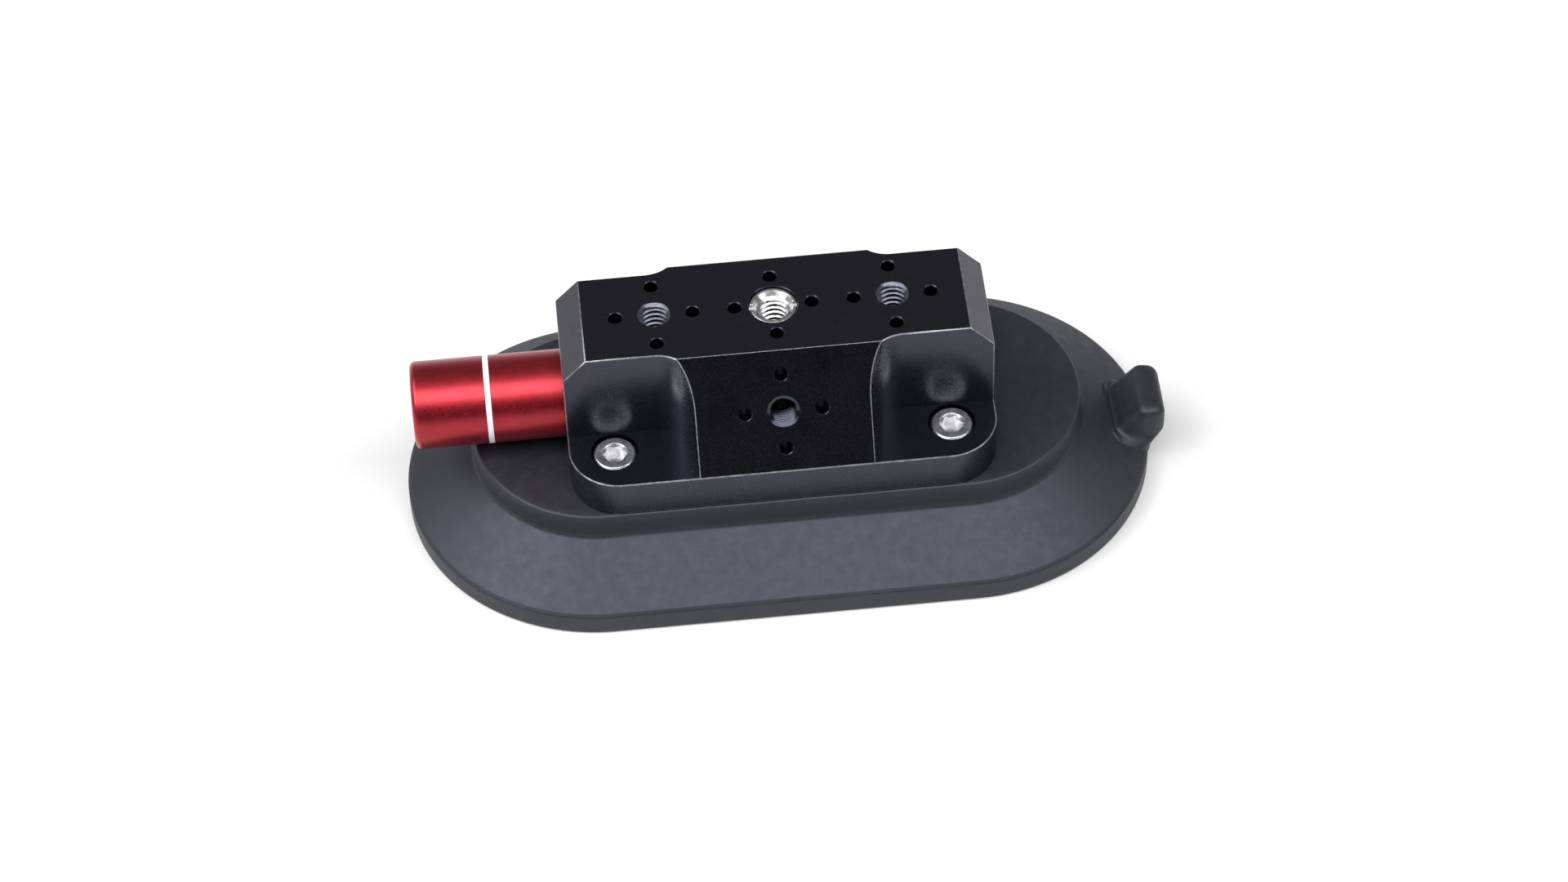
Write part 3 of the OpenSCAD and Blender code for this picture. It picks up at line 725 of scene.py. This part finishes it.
def carve_core(pad, top):
    """Room for the steel plate, the block's key, the inserts and the valve."""
    gap = CORE_GAP
    low, high = size_of("backing_plate")
    plate = oblong(high[0] - high[1], high[1] + gap)
    combine(pad, prism("plate_room", plate, low[2] - gap, high[2] + gap))
    key = rounded_box(KEY_HALF_LENGTH, KEY_HALF_WIDTH, KEY_CORNER)
    key_low = size_of("mounting_block")[0][2]
    combine(pad, prism("key_room", key, key_low - 0.5, top + 1))
    for place in SCREW_PLACES:
        low, high = size_of("insert_" + place)
        centre = ((low[0] + high[0]) / 2, (low[1] + high[1]) / 2)
        insert = circle(*centre, (high[0] - low[0]) / 2 + gap)
        combine(pad, prism("insert_room", insert, low[2] - gap, top + 1))
    low, high = size_of("valve_body")
    centre = ((low[0] + high[0]) / 2, 0)
    flange = circle(*centre, (high[0] - low[0]) / 2 + gap)
    combine(pad, prism("valve_flange_room", flange, -1, low[2] + VALVE_FLANGE + gap))
    stem = circle(*centre, VALVE_STEM_RADIUS + gap)
    combine(pad, prism("valve_stem_room", stem, 1, high[2] - 1))


# Screw threads of a quarter inch by 20 to the inch. Shares are of the pitch.

PITCH = 25.4 / 20
THREAD_DEPTH = 0.5413 * PITCH
THREAD_CLEARANCE = 0.015
ROOT_SHARE = 0.0625
FLANK_SHARE = 0.3125
FLANK_STEPS = 4
STEPS_PER_TURN = 56
MOUTH_CONE_SLOPE = 1.8


def add_sleeve(mount, material, body):
    """The threaded wall of a hole, with a cone at its mouth. The strip follows the helix."""
    radius = mount["dims"]["r_mm"] + THREAD_CLEARANCE
    crest = radius - THREAD_DEPTH
    depth = mount["dims"]["length_mm"]
    rise = [ROOT_SHARE + FLANK_SHARE * k / FLANK_STEPS for k in range(1, FLANK_STEPS + 1)]
    across = [0.0, ROOT_SHARE] + rise
    across += [1 - share for share in reversed(across)]
    axis = Vector(mount["axis"]).normalized()
    mouth = Vector(mount["pos_m"]) / MM + axis * depth / 2
    place = Matrix.Translation(mouth) @ axis.to_track_quat("Z", "X").to_matrix().to_4x4()

    def point(step, z, share):
        """A point of the wall. Past either end it lies on the outer edge there."""
        angle = 2 * math.pi * step / STEPS_PER_TURN
        ridge = min(1.0, max(0.0, (min(share, 1 - share) - ROOT_SHARE) / FLANK_SHARE))
        r = max(radius + (crest - radius) * ridge, radius + z * MOUTH_CONE_SLOPE)
        if z >= 0 or z <= -depth:
            r = radius
        return place @ Vector((r * math.cos(angle), r * math.sin(angle), min(0.0, max(-depth, z))))

    columns = (math.ceil(depth / PITCH) + 1) * STEPS_PER_TURN + 1
    vertices = []
    for i in range(columns):
        vertices += [point(i, PITCH * (1 - i / STEPS_PER_TURN - share), share) for share in across]
    faces = strips(columns, len(across), closed=False)
    first = len(vertices)
    for i in range(STEPS_PER_TURN):
        vertices += [point(i, 0, 0), point(i, -depth, 0)]
        a, b = first + 2 * i, first + 2 * ((i + 1) % STEPS_PER_TURN)
        faces.append((a, a + 1, b + 1, b))
    sleeve = new_object(mount["name"] + "_wall", vertices, faces, material, smooth_angle=25)
    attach(sleeve, body)
    return sleeve


def add_threads():
    for mount in frame["record"]["mounts"]:
        if mount["kind"] != "threaded_hole":
            continue
        finish = slot = "stainless" if mount["name"] == "centre_thread" else "black_anodised"
        # Only the two top holes get the brighter worn finish, a painted highlight for the light they catch;
        # the front and rear holes stay black
        if mount["name"] in ("top_left_thread", "top_right_thread"):
            finish = "worn_thread"
        sleeve = add_sleeve(mount, FINISHES[finish], "base")


# CAD nodes

FLAT_WITHIN_DEGREES = 0.4
BEVEL_FROM_DEGREES = 28
PIN_HOLE_REACH = 9.4
PIN_HOLE_DEPTH = 9
COUNTERBORE_REACH = 5.2


def slot_of(node):
    parts = frame["record"]["subparts"]
    return next(part["material_slot"] for part in parts if part["node"] == node)


def joined_copy(node, distance):
    """A node's mesh to edit, with points closer than this many millimetres joined."""
    bm = bmesh.new()
    bm.from_mesh(frame["nodes"][node].data)
    bmesh.ops.remove_doubles(bm, verts=bm.verts, dist=distance * MM)
    for f in bm.faces:
        f.material_index = 0
    return bm


def finished_mesh(name, bm):
    """A new mesh with the points, faces and material numbers of an edited one."""
    bmesh.ops.recalc_face_normals(bm, faces=bm.faces)
    bm.verts.index_update()
    mesh = bpy.data.meshes.new(name)
    faces = [[v.index for v in f.verts] for f in bm.faces]
    mesh.from_pydata([v.co.copy() for v in bm.verts], [], faces)
    mesh.polygons.foreach_set("material_index", [f.material_index for f in bm.faces])
    bm.free()
    return mesh


def add_skin(node, width, edge_finish=None, surface_finish=None, is_kept=lambda middle: False):
    """Stands for a machined node: the same solid with a flat bevel of this width on its sharp outer
    edges, apart from the edges that is_kept picks by their middle. All in millimetres."""
    slot = slot_of(node)
    bm = joined_copy(node, 0.01)
    bmesh.ops.dissolve_limit(bm, angle_limit=math.radians(FLAT_WITHIN_DEGREES),
                              verts=bm.verts, edges=bm.edges)
    bmesh.ops.recalc_face_normals(bm, faces=bm.faces)
    edges = [e for e in bm.edges if e.is_manifold and e.is_convex
             and e.calc_face_angle(0) > math.radians(BEVEL_FROM_DEGREES)
             and not is_kept((e.verts[0].co + e.verts[1].co) / 2 / MM)]
    bmesh.ops.bevel(bm, geom=edges, offset=width * MM, offset_type="WIDTH", segments=1, profile=0.5,
                    affect="EDGES", clamp_overlap=False, material=1)
    low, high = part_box(node)
    for v in bm.verts:
        v.co = [min(high[k], max(low[k], v.co[k])) for k in range(3)]
    bmesh.ops.remove_doubles(bm, verts=bm.verts, dist=0.002 * MM)
    mesh = finished_mesh(node + "_skin", bm)
    obj = placed(node + "_skin", mesh, 40)
    bm = bmesh.new()
    bm.from_mesh(mesh)
    for e in bm.edges:
        if len({f.material_index for f in e.link_faces}) > 1:
            e.smooth = False
    bm.to_mesh(mesh)
    bm.free()
    steady = obj.modifiers.new("steady", "WEIGHTED_NORMAL")
    steady.keep_sharp = True
    steady.weight = 80
    surface = surface_finish or slot
    mesh.materials.append(FINISHES[surface])
    mesh.materials.append(FINISHES[edge_finish or surface])
    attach(obj, body_of(frame["nodes"][node])[0])
    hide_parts(node)


def hole_test():
    """A test that is True for a place near a threaded hole with its pin holes, or near a screw."""
    threads = [(Vector(m["pos_m"]) / MM, Vector(m["axis"]))
               for m in frame["record"]["mounts"] if m["kind"] == "threaded_hole"]
    screws = []
    for place in SCREW_PLACES:
        low, high = size_of("cap_screw_" + place)
        screws.append((Vector(low) + Vector(high)) / 2)

    def by_a_hole(middle):
        for centre, axis in threads:
            out = middle - centre
            along = out.dot(axis)
            if (out - axis * along).length < PIN_HOLE_REACH and abs(along) < PIN_HOLE_DEPTH:
                return True
        return any((centre - middle).xy.length < COUNTERBORE_REACH for centre in screws)

    return by_a_hole


def dress_nodes():
    """Gives every carried-over node its finish."""
    for subpart in frame["record"]["subparts"]:
        obj = frame["nodes"][subpart["node"]]
        obj.data.materials.clear()
        obj.data.materials.append(FINISHES[subpart["material_slot"]])


def add_skins():
    # The bevels take a worn finish that also paints in the highlights they catch
    add_skin("mounting_block", width=0.30, edge_finish="worn_edge", is_kept=hole_test())
    add_skin("reducer_bushing", width=0.08)
    add_skin("plunger_shell", width=0.10)
    add_skin("cylinder_plug", width=0.20)
    for place in SCREW_PLACES:
        add_skin("cap_screw_" + place, width=0.12, surface_finish="screw_steel")


def add_springs():
    """Springs as copies of their nodes' coils, each riding with its node's body."""
    for joint in frame["record"]["behaviour"]["joints"]:
        for spring in joint.get("deforming_nodes", []):
            node = spring["node"]
            slot = slot_of(node)
            mesh = finished_mesh(node + "_coil", joined_copy(node, 0.001))
            coil = placed(node + "_coil", mesh, 60)
            mesh.materials.append(FINISHES[slot])
            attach(coil, body_of(frame["nodes"][node])[0])
            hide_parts(node)
            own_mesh(coil)


def add_floor():
    half, z = FLOOR_HALF_MM, FLOOR_HEIGHT_MM
    corners = [(-half, -half, z), (half, -half, z), (half, half, z), (-half, half, z)]
    floor = new_object("floor", corners, [(0, 1, 2, 3)], floor_finish())


add_camera()
add_softbox("overhead", away=(0, -0.375, 0.927), long_side=(1, 0, 0), distance=3.0,
            length=8.0, width=1.75, radiance=4.7)
add_softbox("left", away=(-0.66, 0.04, 0.75), long_side=(0, 1, 0), distance=3.0,
            length=2.4, width=1.9, radiance=3.2)
add_world()
add_floor()
dress_nodes()
add_skins()
add_springs()
add_pad()
add_threads()
scene.view_settings.view_transform = "Standard"
